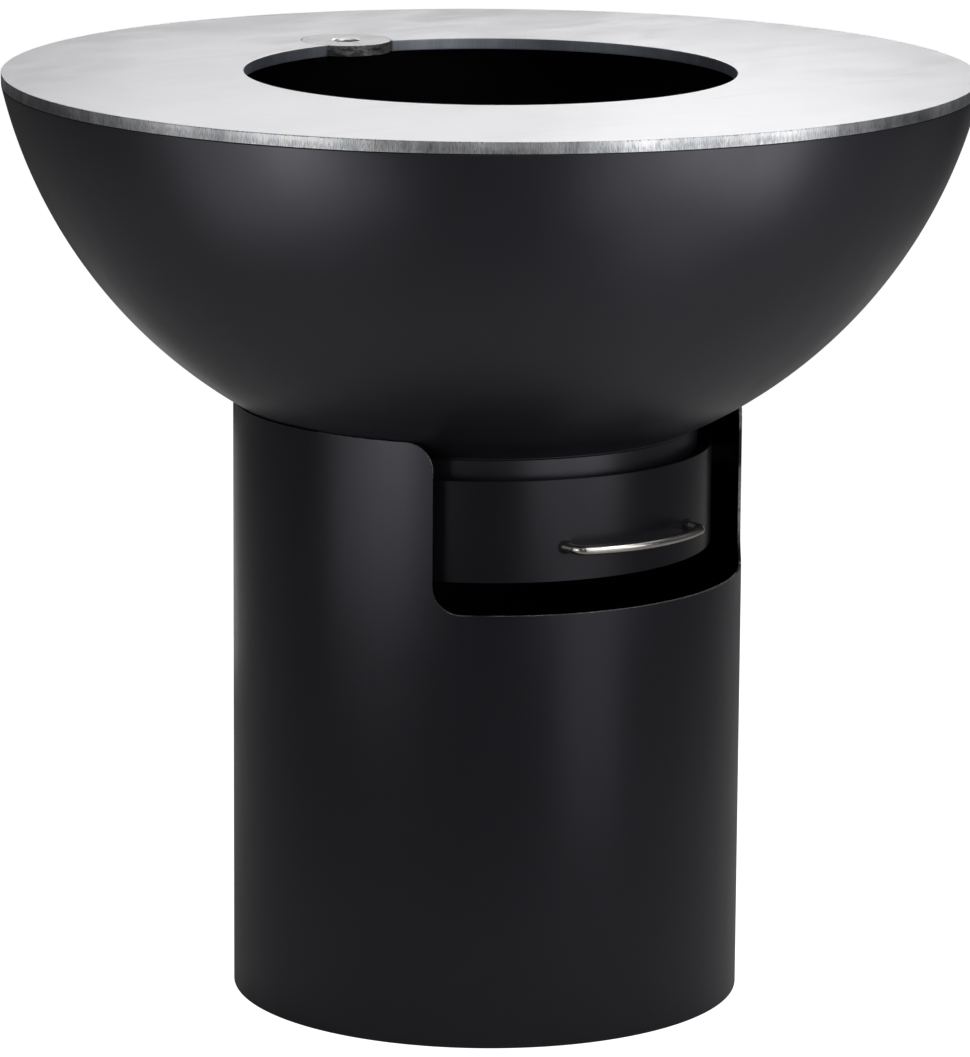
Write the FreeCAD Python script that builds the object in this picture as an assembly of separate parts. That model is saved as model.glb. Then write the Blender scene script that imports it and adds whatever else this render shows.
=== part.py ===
import FreeCAD, Part
import math
import os
from FreeCAD import Vector as V

# Fire bowl with a ring-shaped cooking plate on a cylinder pedestal, with an
# ash drawer in a notch of the pedestal.  Millimetres.  Z is up, the ground is
# z = 0, the vertical axis of the bowl is x = y = 0, and the drawer opens
# towards -Y.

os.makedirs("parts", exist_ok=True)

# ---------------------------------------------------------------- dimensions
# overall levels
PLATE_TOP_Z = 962.0        # cooking surface above the ground
PLATE_T = 12.0             # steel plate
PLATE_R = 500.0
PLATE_HOLE_R = 252.6       # fire opening
PLATE_CHAMFER = 0.8

# loose round insert in a pocket at the inner edge of the plate
INSERT_R = 47.2
INSERT_GAP = 0.45          # radial clearance in the pocket
INSERT_BORE_R = 13.0
INSERT_CENTRE_R = 276.0    # from the main axis
INSERT_DIR = (0.1201, 0.9928)
INSERT_FLOAT = 0.3         # under the insert, above its ledge
LEDGE_R_OUT = 62.0
LEDGE_R_IN = 38.0
LEDGE_T = 5.0

# lugs under the plate that centre it in the bowl
LUG_R0, LUG_R1 = 482.0, 489.0
LUG_W = 40.0
LUG_H = 14.0
LUG_ANGLES = (0.0, 90.0, 180.0, 270.0)

# bowl: a cap of a sphere, 3 mm sheet
BOWL_R = 512.7             # outer radius of the sphere
BOWL_T = 3.0
BOWL_CZ = 1064.3           # height of the sphere's centre
BOWL_RIM_Z = PLATE_TOP_Z - PLATE_T - 0.3
ASH_HOLE_R = 80.0

# loose grate over the ash hole
GRATE_R = 95.0
GRATE_T = 5.0
GRATE_Z = 564.3
GRATE_SLOT_W = 9.0
GRATE_BAR_W = 9.0

# pedestal: rolled sheet cylinder with a notch that is open at the top
PED_R = 264.0
PED_T = 3.0
PED_TOP_Z = 622.8
NOTCH_BOTTOM_Z = 449.0
NOTCH_CORNER_DEG = 46.37   # direction of the corner's centre, from -Y
NOTCH_CORNER_R = 29.0      # inside corners at the bottom
NOTCH_LIP_R = 28.0         # outside corners at the top

# ring welded in at the foot, with anchor holes
BASE_RING_R_IN = 205.0
BASE_RING_T = 6.0
ANCHOR_PCD_R = 232.0
ANCHOR_HOLE_R = 7.0
ANCHOR_COUNT = 4
ANCHOR_START_DEG = 45.0

# tabs, studs and nuts that hold the bowl down on the pedestal
TAB_ANGLES = (90.0, 195.0, 345.0)   # from +X
TAB_ALPHA = 27.0           # from the bowl's lowest point, at the sphere's centre
TAB_W = 42.0
TAB_T = 5.0
TAB_IN = 13.0              # from the stud to the tab's inner end
TAB_GAP = 1.0              # between tab and bowl
STUD_R = 5.0               # M10
STUD_L = 24.0
NUT_AF = 17.0
NUT_H = 8.0
WASHER_R = 10.5
WASHER_T = 2.0

# ash collar welded under the bowl
COLLAR_R = 216.7
COLLAR_T = 3.0
COLLAR_BOTTOM_Z = 566.0

# ash drawer
FRONT_R = 231.5            # outer radius of the curved front
FRONT_T = 3.0
FRONT_Z0, FRONT_Z1 = 475.8, 579.4
FRONT_HALF_DEG = 58.5
TRAY_X = 180.0             # outer face of the side walls
TRAY_T = 2.0
TRAY_Z0 = 484.0
TRAY_LIP_Z = 537.4         # top of the side lips that run in the rails
TRAY_LIP_X = 192.0
TRAY_BACK_Y = 140.0
TRAY_BEND_R = 6.0

# rails
RAIL_X_IN = 184.0          # inner edge of the lower leg
RAIL_X_OUT = 198.5
RAIL_T = 3.0
RAIL_Z0 = 532.0
RAIL_Z1 = 543.0
RAIL_Y0, RAIL_Y1 = -110.0, 146.0

# brackets from the pedestal wall to the rails
BRACKET_FRONT_DEG = 8.0    # below +X, towards the drawer front
BRACKET_REAR_DEG = 29.0    # above +X, towards the back
BRACKET_W = 30.0
BRACKET_T = 3.0
BRACKET_Z = 543.1          # underside of the horizontal leg
BRACKET_DROP = 42.0
BRACKET_R_IN = 186.0
RAIL_SCREW_R = 2.5         # M5
RAIL_SCREW_HEAD_R = 4.75
RAIL_SCREW_HEAD_H = 2.75

# handle: a bent round bar
HANDLE_A = 82.9            # half of the distance between its two feet
HANDLE_Z = 510.5
HANDLE_R = 5.0
HANDLE_OUT = 22.0          # from the foot to the end of the bow
HANDLE_BOW = 21.0          # rise of the bow between its ends
HANDLE_BEND_R = 13.0
HANDLE_SCREW_R = 2.5       # M5
HANDLE_SCREW_L = 17.0
HANDLE_WASHER_R = 7.0
HANDLE_WASHER_T = 1.2


# ------------------------------------------------------------------- helpers
def save(shape, name):
    shape.exportStep("parts/%s.step" % name)
    print("%-24s solids %2d  volume %10.1f mm3  valid %s" %
          (name, len(shape.Solids), shape.Volume, shape.isValid()))


def deg(a):
    return math.radians(a)


def ring(r_out, r_in, z0, z1):
    outer = Part.makeCylinder(r_out, z1 - z0, V(0, 0, z0))
    inner = Part.makeCylinder(r_in, z1 - z0 + 2, V(0, 0, z0 - 1))
    return outer.cut(inner)


def sphere_z(radius, r):
    """Height of the bowl's surface of this sphere radius at distance r."""
    return BOWL_CZ - math.sqrt(radius * radius - r * r)


def turned(shape, angle_deg, centre=V(0, 0, 0), axis=V(0, 0, 1)):
    s = shape.copy()
    s.rotate(centre, axis, angle_deg)
    return s


def prism(points, direction):
    wire = Part.makePolygon(points + [points[0]])
    return Part.Face(wire).extrude(direction)


def hex_prism(across_flats, h, base, axis):
    r = across_flats / 2.0 / math.cos(deg(30))
    pts = [V(r * math.cos(deg(60 * i)), r * math.sin(deg(60 * i)), 0)
           for i in range(6)]
    body = prism(pts, V(0, 0, h))
    rot = FreeCAD.Rotation(V(0, 0, 1), axis)
    body.Placement = FreeCAD.Placement(base, rot)
    return body


def button_screw(base, axis, shank_r, shank_l, head_r, head_h):
    """Dome head on +axis side of base, shank on the other side, one solid."""
    head = Part.makeCylinder(head_r, head_h, V(0, 0, 0), V(0, 0, 1))
    top = [e for e in head.Edges
           if abs(e.BoundBox.ZMin - head_h) < 1e-6 and abs(e.BoundBox.ZMax - head_h) < 1e-6]
    head = head.makeFillet(head_h * 0.62, top)
    socket_r = shank_r * 0.62
    pts = [V(socket_r * math.cos(deg(60 * i)), socket_r * math.sin(deg(60 * i)),
             head_h * 0.35) for i in range(6)]
    head = head.cut(prism(pts, V(0, 0, head_h)))
    shank = Part.makeCylinder(shank_r, shank_l + 0.2, V(0, 0, 0.2), V(0, 0, -1))
    s = head.fuse(shank).removeSplitter()
    s.Placement = FreeCAD.Placement(base, FreeCAD.Rotation(V(0, 0, 1), axis))
    return s


# ------------------------------------------------------------ pedestal shell
shell = ring(PED_R, PED_R - PED_T, 0, PED_TOP_Z)

# middle of the notch, between the two corner centres
mid = Part.makeCylinder(PED_R + 40, 300, V(0, 0, NOTCH_BOTTOM_Z), V(0, 0, 1),
                        2 * NOTCH_CORNER_DEG)
mid.rotate(V(0, 0, 0), V(0, 0, 1), -90 - NOTCH_CORNER_DEG)
shell = shell.cut(mid)

# each side of the notch: one profile cut square to the sheet at its corner
for side in (1, -1):
    th = deg(NOTCH_CORNER_DEG)
    d = V(side * math.sin(th), -math.cos(th), 0)
    t = V(side * math.cos(th), math.sin(th), 0)
    o = d * (PED_R - 60)

    def at(s, z):
        return o + t * s + V(0, 0, z)

    r1, r2 = NOTCH_CORNER_R, NOTCH_LIP_R
    zb = NOTCH_BOTTOM_Z
    zt = PED_TOP_Z
    c45 = math.cos(deg(45))
    edges = [
        Part.LineSegment(at(-20, zb), at(0, zb)).toShape(),
        Part.Arc(at(0, zb), at(r1 * c45, zb + r1 - r1 * c45), at(r1, zb + r1)).toShape(),
        Part.LineSegment(at(r1, zb + r1), at(r1, zt - r2)).toShape(),
        Part.Arc(at(r1, zt - r2), at(r1 + r2 - r2 * c45, zt - r2 + r2 * c45),
                 at(r1 + r2, zt)).toShape(),
        Part.LineSegment(at(r1 + r2, zt), at(r1 + r2, zt + 60)).toShape(),
        Part.LineSegment(at(r1 + r2, zt + 60), at(-20, zt + 60)).toShape(),
        Part.LineSegment(at(-20, zt + 60), at(-20, zb)).toShape(),
    ]
    face = Part.Face(Part.Wire(edges))
    shell = shell.cut(face.extrude(d * 110))
save(shell, "pedestal_shell")

# ----------------------------------------------------------------- base ring
base_ring = ring(PED_R - PED_T - 0.05, BASE_RING_R_IN, 0, BASE_RING_T)
for i in range(ANCHOR_COUNT):
    a = deg(ANCHOR_START_DEG + 360.0 * i / ANCHOR_COUNT)
    base_ring = base_ring.cut(Part.makeCylinder(
        ANCHOR_HOLE_R, BASE_RING_T + 4,
        V(ANCHOR_PCD_R * math.cos(a), ANCHOR_PCD_R * math.sin(a), -2)))
save(base_ring, "pedestal_base_ring")

# ---------------------------------------------------------------------- bowl
ri = BOWL_R - BOWL_T
h = BOWL_CZ - BOWL_RIM_Z
rim_o = math.sqrt(BOWL_R ** 2 - h ** 2)
rim_i = math.sqrt(ri ** 2 - h ** 2)
a_rim = math.asin(h / BOWL_R)


def on_sphere(radius, r):
    return V(r, 0, sphere_z(radius, r))


po, pi_ = V(rim_o, 0, BOWL_RIM_Z), V(rim_i, 0, BOWL_RIM_Z)
ho, hi = on_sphere(BOWL_R, ASH_HOLE_R), on_sphere(ri, ASH_HOLE_R)
bowl_face = Part.Face(Part.Wire([
    Part.Arc(po, on_sphere(BOWL_R, 330.0), ho).toShape(),
    Part.LineSegment(ho, hi).toShape(),
    Part.Arc(hi, on_sphere(ri, 330.0), pi_).toShape(),
    Part.LineSegment(pi_, po).toShape(),
]))
bowl = bowl_face.revolve(V(0, 0, 0), V(0, 0, 1), 360)
save(bowl, "fire_bowl")

# ---------------------------------------------------------------- ash collar
collar = ring(COLLAR_R, COLLAR_R - COLLAR_T, COLLAR_BOTTOM_Z, 612.0)
collar = collar.cut(Part.makeSphere(BOWL_R + 0.05, V(0, 0, BOWL_CZ)))
save(collar, "ash_collar")

# ------------------------------------------------- tabs, studs, washers, nuts
tabs, studs, washers, nuts = [], [], [], []
al = deg(TAB_ALPHA)
n = V(math.sin(al), 0, -math.cos(al))      # outward normal of the bowl there
m = V(math.cos(al), 0, math.sin(al))       # along the bowl, up and outwards
for ang in TAB_ANGLES:
    c = V(0, 0, BOWL_CZ) + n * (BOWL_R + TAB_GAP)
    pts = [c + m * -TAB_IN + V(0, -TAB_W / 2, 0), c + m * 60 + V(0, -TAB_W / 2, 0),
           c + m * 60 + V(0, TAB_W / 2, 0), c + m * -TAB_IN + V(0, TAB_W / 2, 0)]
    tab = prism(pts, n * TAB_T)
    tab = tab.common(Part.makeCylinder(PED_R - PED_T - 0.05, 400, V(0, 0, 400)))
    tab = tab.cut(Part.makeCylinder(STUD_R + 0.8, 40, c - n * 10, n))
    s0 = V(0, 0, BOWL_CZ) + n * (BOWL_R + 0.04)
    stud = Part.makeCylinder(STUD_R, STUD_L, s0, n)
    tip = [e for e in stud.Edges if len(e.Vertexes) == 1
           and (e.CenterOfMass - (s0 + n * STUD_L)).Length < 0.5]
    stud = stud.makeChamfer(1.0, tip)
    w0 = c + n * TAB_T
    washer = Part.makeCylinder(WASHER_R, WASHER_T, w0, n).cut(
        Part.makeCylinder(STUD_R + 0.3, WASHER_T + 2, w0 - n, n))
    nut = hex_prism(NUT_AF, NUT_H, w0 + n * WASHER_T, n).cut(
        Part.makeCylinder(STUD_R + 0.02, NUT_H + 4, w0, n))
    tabs.append(turned(tab, ang))
    studs.append(turned(stud, ang))
    washers.append(turned(washer, ang))
    nuts.append(turned(nut, ang))
save(Part.makeCompound(tabs), "bowl_fixing_tabs")
save(Part.makeCompound(studs), "bowl_weld_studs")
save(Part.makeCompound(washers), "bowl_stud_washers")
save(Part.makeCompound(nuts), "bowl_stud_nuts")

# --------------------------------------------------------------------- rails
for name, side in (("drawer_rail_right", 1), ("drawer_rail_left", -1)):
    prof = [(RAIL_X_IN, RAIL_Z0), (RAIL_X_OUT, RAIL_Z0), (RAIL_X_OUT, RAIL_Z1),
            (RAIL_X_IN, RAIL_Z1), (RAIL_X_IN, RAIL_Z1 - RAIL_T),
            (RAIL_X_OUT - RAIL_T, RAIL_Z1 - RAIL_T),
            (RAIL_X_OUT - RAIL_T, RAIL_Z0 + RAIL_T), (RAIL_X_IN, RAIL_Z0 + RAIL_T)]
    rail = prism([V(side * x, RAIL_Y0, z) for x, z in prof],
                 V(0, RAIL_Y1 - RAIL_Y0, 0))
    # end stop across the back of the channel
    stop = Part.makeBox(RAIL_X_OUT - RAIL_T - RAIL_X_IN, RAIL_T, RAIL_Z1 - RAIL_Z0 - 2 * RAIL_T,
                        V(RAIL_X_IN if side > 0 else -RAIL_X_OUT + RAIL_T,
                          RAIL_Y1 - RAIL_T, RAIL_Z0 + RAIL_T))
    rail = rail.fuse(stop).removeSplitter()
    # threaded holes in the upper leg
    for ang in (-BRACKET_FRONT_DEG, BRACKET_REAR_DEG):
        x = 190.5
        y = x * math.tan(deg(ang))
        rail = rail.cut(Part.makeCylinder(RAIL_SCREW_R + 0.02, 8,
                                          V(side * x, y, RAIL_Z1 - 5)))
    save(rail, name)

# ------------------------------------------------------------- rail brackets
front_br, rear_br, rail_screws = [], [], []
for side in (1, -1):
    for ang, bag in ((-BRACKET_FRONT_DEG, front_br), (BRACKET_REAR_DEG, rear_br)):
        r_wall = PED_R - PED_T - 0.05
        w = BRACKET_W / 2
        rl = math.sqrt(r_wall ** 2 - w ** 2)
        top = Part.makeBox(rl + 6 - BRACKET_R_IN, BRACKET_W, BRACKET_T,
                           V(BRACKET_R_IN, -w, BRACKET_Z))
        leg = Part.makeBox(BRACKET_T, BRACKET_W, BRACKET_DROP,
                           V(rl - BRACKET_T, -w, BRACKET_Z + BRACKET_T - BRACKET_DROP))
        gusset = prism([V(rl - BRACKET_T - 26, -1.5, BRACKET_Z),
                        V(rl - BRACKET_T, -1.5, BRACKET_Z),
                        V(rl - BRACKET_T, -1.5, BRACKET_Z - 26)], V(0, 3, 0))
        br = top.fuse(leg).fuse(gusset).removeSplitter()
        br = br.common(Part.makeCylinder(r_wall, 400, V(0, 0, 400)))
        x = 190.5
        y = x * math.tan(deg(ang))
        rr = math.hypot(x, y)
        br = br.cut(Part.makeCylinder(RAIL_SCREW_R + 0.3, 12, V(rr, 0, BRACKET_Z - 4)))
        a = ang if side > 0 else 180 - ang
        br = turned(br, a)
        # the inner end stops above the rail, clear of the tray
        br = br.cut(Part.makeBox(2 * RAIL_X_IN, 600, 200, V(-RAIL_X_IN, -300, BRACKET_Z - 100)))
        # the inner end is cut back from the drawer's side wall
        bag.append(br)
        rail_screws.append(button_screw(V(side * x, y, BRACKET_Z + BRACKET_T), V(0, 0, 1),
                                        RAIL_SCREW_R, BRACKET_T + RAIL_T + 0.1,
                                        RAIL_SCREW_HEAD_R, RAIL_SCREW_HEAD_H))
save(Part.makeCompound(front_br), "rail_brackets_front")
save(Part.makeCompound(rear_br), "rail_brackets_rear")
save(Part.makeCompound(rail_screws), "rail_screws")

# -------------------------------------------------------------- drawer front
half = FRONT_HALF_DEG
front = Part.makeCylinder(FRONT_R, FRONT_Z1 - FRONT_Z0, V(0, 0, FRONT_Z0), V(0, 0, 1), 2 * half)
front.rotate(V(0, 0, 0), V(0, 0, 1), -90 - half)
front = front.cut(Part.makeCylinder(FRONT_R - FRONT_T, FRONT_Z1 - FRONT_Z0 + 2,
                                    V(0, 0, FRONT_Z0 - 1)))
corner_edges = []
for e in front.Edges:
    b = e.BoundBox
    if b.ZLength < 0.01 and e.Length < FRONT_T + 0.1:
        corner_edges.append(e)
front = front.makeFillet(6.0, corner_edges)
for sx in (1, -1):
    front = front.cut(Part.makeCylinder(HANDLE_SCREW_R + 0.3, 60,
                                        V(sx * HANDLE_A, -190, HANDLE_Z), V(0, -1, 0)))
save(front, "drawer_front")

# ----------------------------------------------------------------- ash tray
r_in = FRONT_R - FRONT_T - 0.05
y_min = -r_in - 5
box = Part.makeBox(2 * TRAY_X, TRAY_BACK_Y - y_min, TRAY_LIP_Z - TRAY_Z0, V(-TRAY_X, y_min, TRAY_Z0))
long_edges = [e for e in box.Edges
              if abs(e.BoundBox.YLength - (TRAY_BACK_Y - y_min)) < 0.01
              and abs(e.BoundBox.ZMax - TRAY_Z0) < 0.01]
box = box.makeFillet(TRAY_BEND_R, long_edges)
inner = Part.makeBox(2 * (TRAY_X - TRAY_T), TRAY_BACK_Y - TRAY_T - y_min + 10, 90,
                     V(-TRAY_X + TRAY_T, y_min - 10, TRAY_Z0 + TRAY_T))
long_in = [e for e in inner.Edges
           if abs(e.BoundBox.YLength - (TRAY_BACK_Y - TRAY_T - y_min + 10)) < 0.01
           and abs(e.BoundBox.ZMax - (TRAY_Z0 + TRAY_T)) < 0.01]
inner = inner.makeFillet(TRAY_BEND_R - TRAY_T, long_in)
tray = box.cut(inner)
for side in (1, -1):
    lip = Part.makeBox(TRAY_LIP_X - TRAY_X + 0.5, TRAY_BACK_Y - y_min, TRAY_T,
                       V(TRAY_X - 0.5 if side > 0 else -TRAY_LIP_X, y_min, TRAY_LIP_Z - TRAY_T))
    tray = tray.fuse(lip)
tray = tray.removeSplitter()
tray = tray.common(Part.makeCylinder(r_in, 200, V(0, 0, 440)).fuse(
    Part.makeBox(500, 300, 200, V(-250, 0, 440))))
save(tray, "ash_tray")

# ------------------------------------------------------------------- handle
a = HANDLE_A
y_foot = -math.sqrt(FRONT_R ** 2 - a ** 2)
y_end = y_foot - HANDLE_OUT
rb = (a * a + HANDLE_BOW ** 2) / (2 * HANDLE_BOW)
yc = y_end - HANDLE_BOW + rb
rf = HANDLE_BEND_R
yf = yc - math.sqrt((rb - rf) ** 2 - (a - rf) ** 2)
cf = V(-a + rf, yf, HANDLE_Z)
cb = V(0, yc, HANDLE_Z)
tan_bow = cb + (cf - cb) * (rb / (rb - rf))
v1 = V(-1, 0, 0)
v2 = (tan_bow - cf).normalize()
vm = (v1 + v2).normalize()
y_start = -200.0
left = [
    Part.LineSegment(V(-a, y_start, HANDLE_Z), V(-a, yf, HANDLE_Z)).toShape(),
    Part.Arc(V(-a, yf, HANDLE_Z), cf + vm * rf, tan_bow).toShape(),
]


def mirrored(p):
    return V(-p.x, p.y, p.z)


right = [
    Part.Arc(mirrored(tan_bow), mirrored(cf + vm * rf), V(a, yf, HANDLE_Z)).toShape(),
    Part.LineSegment(V(a, yf, HANDLE_Z), V(a, y_start, HANDLE_Z)).toShape(),
]
bow = Part.Arc(tan_bow, V(0, y_end - HANDLE_BOW, HANDLE_Z), mirrored(tan_bow)).toShape()
path = Part.Wire(left + [bow] + right)
prof = Part.Wire([Part.Circle(V(-a, y_start, HANDLE_Z), V(0, 1, 0), HANDLE_R).toShape()])
handle = path.makePipeShell([prof], True, False)
handle = handle.cut(Part.makeCylinder(FRONT_R + 0.02, 80, V(0, 0, HANDLE_Z - 40)))
for sx in (1, -1):
    handle = handle.cut(Part.makeCylinder(HANDLE_SCREW_R + 0.02, 40,
                                          V(sx * a, y_foot + 28, HANDLE_Z), V(0, -1, 0)))
print("handle bar: length %.1f, area*length %.1f" % (
    path.Length, path.Length * math.pi * HANDLE_R ** 2))
save(handle, "drawer_handle")

# screws and washers behind the drawer front
hs, hw = [], []
y_back = -math.sqrt((FRONT_R - FRONT_T) ** 2 - (a - HANDLE_WASHER_R) ** 2)
for sx in (1, -1):
    # flat pad of the washer stands on the inner face of the front
    y_w = -math.sqrt((FRONT_R - FRONT_T) ** 2 - (a + HANDLE_WASHER_R) ** 2) + 0.05
    w = Part.makeCylinder(HANDLE_WASHER_R, abs(y_w - y_back) + HANDLE_WASHER_T,
                          V(sx * a, y_w + HANDLE_WASHER_T, HANDLE_Z), V(0, -1, 0))
    w = w.common(Part.makeCylinder(FRONT_R - FRONT_T - 0.05, 60, V(0, 0, HANDLE_Z - 30)))
    w = w.cut(Part.makeCylinder(HANDLE_SCREW_R + 0.25, 60, V(sx * a, -180, HANDLE_Z), V(0, -1, 0)))
    hw.append(w)
    hs.append(button_screw(V(sx * a, y_w + HANDLE_WASHER_T, HANDLE_Z), V(0, 1, 0),
                           HANDLE_SCREW_R, HANDLE_SCREW_L, 4.75, 2.75))
save(Part.makeCompound(hw), "handle_washers")
save(Part.makeCompound(hs), "handle_screws")

# ------------------------------------------------------------- cooking plate
z0 = PLATE_TOP_Z - PLATE_T
plate = Part.makeCylinder(PLATE_R, PLATE_T, V(0, 0, z0)).cut(
    Part.makeCylinder(PLATE_HOLE_R, PLATE_T + 2, V(0, 0, z0 - 1)))
rims = [e for e in plate.Edges if len(e.Vertexes) == 1]
plate = plate.makeChamfer(PLATE_CHAMFER, rims)
ic = V(INSERT_DIR[0], INSERT_DIR[1], 0).normalize() * INSERT_CENTRE_R
plate = plate.cut(Part.makeCylinder(INSERT_R + INSERT_GAP, PLATE_T + 2,
                                    V(ic.x, ic.y, z0 - 1)))
save(plate, "cooking_plate")

# ledge under the pocket
ledge = Part.makeCylinder(LEDGE_R_OUT, LEDGE_T, V(ic.x, ic.y, z0 - LEDGE_T)).cut(
    Part.makeCylinder(LEDGE_R_IN, LEDGE_T + 2, V(ic.x, ic.y, z0 - LEDGE_T - 1)))
ledge = ledge.cut(Part.makeCylinder(PLATE_HOLE_R + 1.0, LEDGE_T + 2, V(0, 0, z0 - LEDGE_T - 1)))
save(ledge, "insert_ledge")

# lugs
lugs = []
for ang in LUG_ANGLES:
    lug = Part.makeBox(LUG_R1 - LUG_R0, LUG_W, LUG_H, V(LUG_R0, -LUG_W / 2, z0 - LUG_H))
    low = [e for e in lug.Edges
           if abs(e.BoundBox.ZMax - (z0 - LUG_H)) < 0.01
           and e.BoundBox.XLength < 0.1 and e.BoundBox.XMin > LUG_R1 - 0.1]
    lug = lug.makeChamfer(3.0, low)
    lugs.append(turned(lug, ang))
save(Part.makeCompound(lugs), "plate_locating_lugs")

# -------------------------------------------------------------- round insert
insert = Part.makeCylinder(INSERT_R, PLATE_T - INSERT_FLOAT, V(ic.x, ic.y, z0 + INSERT_FLOAT)).cut(
    Part.makeCylinder(INSERT_BORE_R, PLATE_T + 2, V(ic.x, ic.y, z0 - 1)))
rims = [e for e in insert.Edges if len(e.Vertexes) == 1]
insert = insert.makeChamfer(0.5, rims)
save(insert, "plate_insert")

# --------------------------------------------------------------------- grate
grate = Part.makeCylinder(GRATE_R, GRATE_T, V(0, 0, GRATE_Z))
pitch = GRATE_SLOT_W + GRATE_BAR_W
slots = []
for i in range(-4, 5):
    y = i * pitch
    span = math.sqrt((GRATE_R - 14) ** 2 - (abs(y) + GRATE_SLOT_W / 2) ** 2) \
        if abs(y) + GRATE_SLOT_W / 2 < GRATE_R - 14 else 0
    if span < 12:
        continue
    # a bar down the middle ties the slotted disc together
    for x0, x1 in ((-span, -5.0), (5.0, span)):
        if x1 - x0 < GRATE_SLOT_W + 2:
            continue
        r = GRATE_SLOT_W / 2
        slot = Part.makeBox(x1 - x0 - 2 * r, 2 * r, GRATE_T + 2, V(x0 + r, y - r, GRATE_Z - 1))
        for xc in (x0 + r, x1 - r):
            slot = slot.fuse(Part.makeCylinder(r, GRATE_T + 2, V(xc, y, GRATE_Z - 1)))
        grate = grate.cut(slot)
save(grate, "ash_grate")
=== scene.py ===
import math

import bmesh
import bpy
import numpy as np
from mathutils import Matrix, Vector


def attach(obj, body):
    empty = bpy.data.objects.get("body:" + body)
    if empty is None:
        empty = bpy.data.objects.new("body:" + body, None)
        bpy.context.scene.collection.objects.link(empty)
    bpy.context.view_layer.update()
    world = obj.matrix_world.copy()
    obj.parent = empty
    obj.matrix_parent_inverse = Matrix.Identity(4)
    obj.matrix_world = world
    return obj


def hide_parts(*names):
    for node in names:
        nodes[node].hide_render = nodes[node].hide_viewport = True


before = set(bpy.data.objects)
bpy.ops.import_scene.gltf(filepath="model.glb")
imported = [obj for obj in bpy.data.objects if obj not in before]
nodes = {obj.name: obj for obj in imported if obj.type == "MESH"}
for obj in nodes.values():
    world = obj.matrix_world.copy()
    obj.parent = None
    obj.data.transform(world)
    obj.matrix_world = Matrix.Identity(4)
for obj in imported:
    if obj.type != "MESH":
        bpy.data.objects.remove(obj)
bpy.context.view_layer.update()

# Fire bowl with a ring-shaped steel cooking plate on a cylinder pedestal with
# an ash drawer.  Metres.  The ground is z = 0, the main axis is x = y = 0 and
# the drawer opens towards -Y.

scene = bpy.context.scene
rad = math.radians

# ------------------------------------------------------------------ dimensions
PLATE_TOP = 0.962
PLATE_T = 0.012
PLATE_R = 0.4998
HOLE_R = 0.2526
POCKET_R = 0.04765
INSERT_R = 0.0472
INSERT_BORE = 0.013
INSERT_AT = 0.276
INSERT_ANG = math.atan2(0.9928, 0.1201)
INSERT_C = (INSERT_AT * math.cos(INSERT_ANG), INSERT_AT * math.sin(INSERT_ANG))
BOWL_R = 0.5127
BOWL_T = 0.003
BOWL_CZ = 1.0643
BOWL_RIM = 0.9497
ASH_HOLE_R = 0.080
PED_R = 0.264
PED_T = 0.003
PED_TOP = 0.6228
NOTCH_Z = 0.449
NOTCH_DEG = 46.37
NOTCH_R = 0.029
LIP_R = 0.028
COLLAR_R = 0.2167
COLLAR_T = 0.003
COLLAR_Z = 0.566
FRONT_R = 0.2315
FRONT_T = 0.003
FRONT_Z0, FRONT_Z1 = 0.4758, 0.5794
FRONT_DEG = 58.5
HANDLE_A = 0.0829
HANDLE_Z = 0.5105
HANDLE_BAR = 0.005
HANDLE_OUT = 0.022
HANDLE_BOW = 0.021
HANDLE_BEND = 0.013


# --------------------------------------------------------------------- meshes
def weigh_normals(me):
    """Vertex normals weighted by face area, so that a large face stays true
    beside the narrow faces of its rounded edge."""
    npoly, nloop, nvert = len(me.polygons), len(me.loops), len(me.vertices)
    nor = np.empty(npoly * 3, np.float32)
    me.polygons.foreach_get("normal", nor)
    nor = nor.reshape(-1, 3)
    area = np.empty(npoly, np.float32)
    me.polygons.foreach_get("area", area)
    total = np.empty(npoly, np.int32)
    me.polygons.foreach_get("loop_total", total)
    vert = np.empty(nloop, np.int32)
    me.loops.foreach_get("vertex_index", vert)
    owner = np.repeat(np.arange(npoly), total)
    acc = np.zeros((nvert, 3))
    np.add.at(acc, vert, nor[owner] * area[owner][:, None])
    length = np.linalg.norm(acc, axis=1)
    acc[length > 0] /= length[length > 0][:, None]
    acc[length == 0] = (0, 0, 1)
    me.normals_split_custom_set_from_vertices(acc.tolist())


def piece(name, verts, faces, material, body, slot, stands_for=(), edge=0.0,
          edge_deg=35.0, edge_seg=3, join=1e-7, outward=True):
    """A closed mesh as one piece on a body.  edge rounds its sharp edges."""
    me = bpy.data.meshes.new(name)
    me.from_pydata([tuple(v) for v in verts], [], faces)
    bm = bmesh.new()
    bm.from_mesh(me)
    bmesh.ops.remove_doubles(bm, verts=bm.verts, dist=join)
    bmesh.ops.dissolve_degenerate(bm, edges=bm.edges, dist=join)
    if outward:
        bmesh.ops.recalc_face_normals(bm, faces=bm.faces)
    if edge:
        sharp = [e for e in bm.edges
                 if e.is_manifold and e.calc_face_angle(0) > rad(edge_deg)]
        bmesh.ops.bevel(bm, geom=sharp, offset=edge, offset_type="OFFSET",
                        segments=edge_seg, profile=0.5, affect="EDGES",
                        clamp_overlap=True)
    for f in bm.faces:
        f.smooth = True
    bm.to_mesh(me)
    bm.free()
    weigh_normals(me)
    ob = bpy.data.objects.new(name, me)
    scene.collection.objects.link(ob)
    me.materials.append(material)
    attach(ob, body)
    if stands_for:
        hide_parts(*stands_for)
    return ob


def second_finish(ob, material, chosen):
    """Gives the faces for which chosen(centre, normal) is true another finish."""
    ob.data.materials.append(material)
    k = len(ob.data.materials) - 1
    for p in ob.data.polygons:
        if chosen(p.center, p.normal):
            p.material_index = k


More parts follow.
